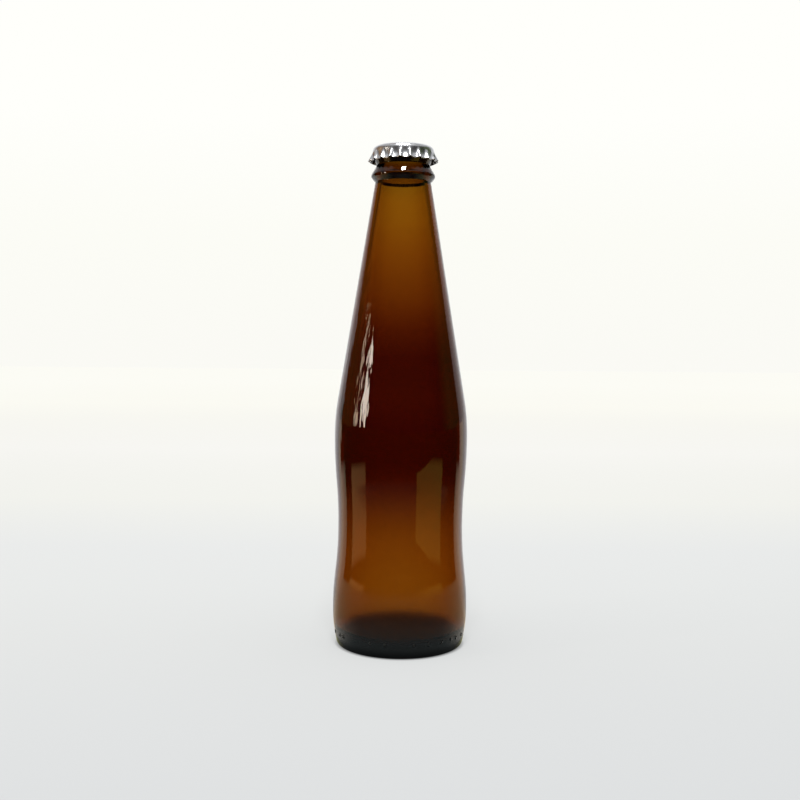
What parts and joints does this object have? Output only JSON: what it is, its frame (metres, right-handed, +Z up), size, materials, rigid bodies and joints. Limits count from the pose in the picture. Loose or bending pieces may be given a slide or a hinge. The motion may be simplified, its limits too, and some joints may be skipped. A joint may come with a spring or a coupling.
{
  "type": "beer bottle",
  "caption": "Empty long-neck beer bottle of amber glass with a drawn-in waist and a long neck cone, an uncrimped crown cap resting on its mouth.",
  "frame": {"origin": "centre of the bearing ring under the bottle, on the surface that it stands on", "axes": "+Z up along the bottle's axis, towards the cap; the front of the bottle looks along -Y"},
  "size_m": [0.0614, 0.0614, 0.2265],
  "materials": {
    "amber_glass": "clear amber container glass, smooth and glossy",
    "tinplate": "bare lacquered tinplate, bright and glossy",
    "liner": "soft dark grey sealing compound, matt"
  },
  "bodies": {
    "root": {"bottle": "amber_glass", "crown_cap": "tinplate", "cap_liner": "liner"}
  },
  "joints": []
}
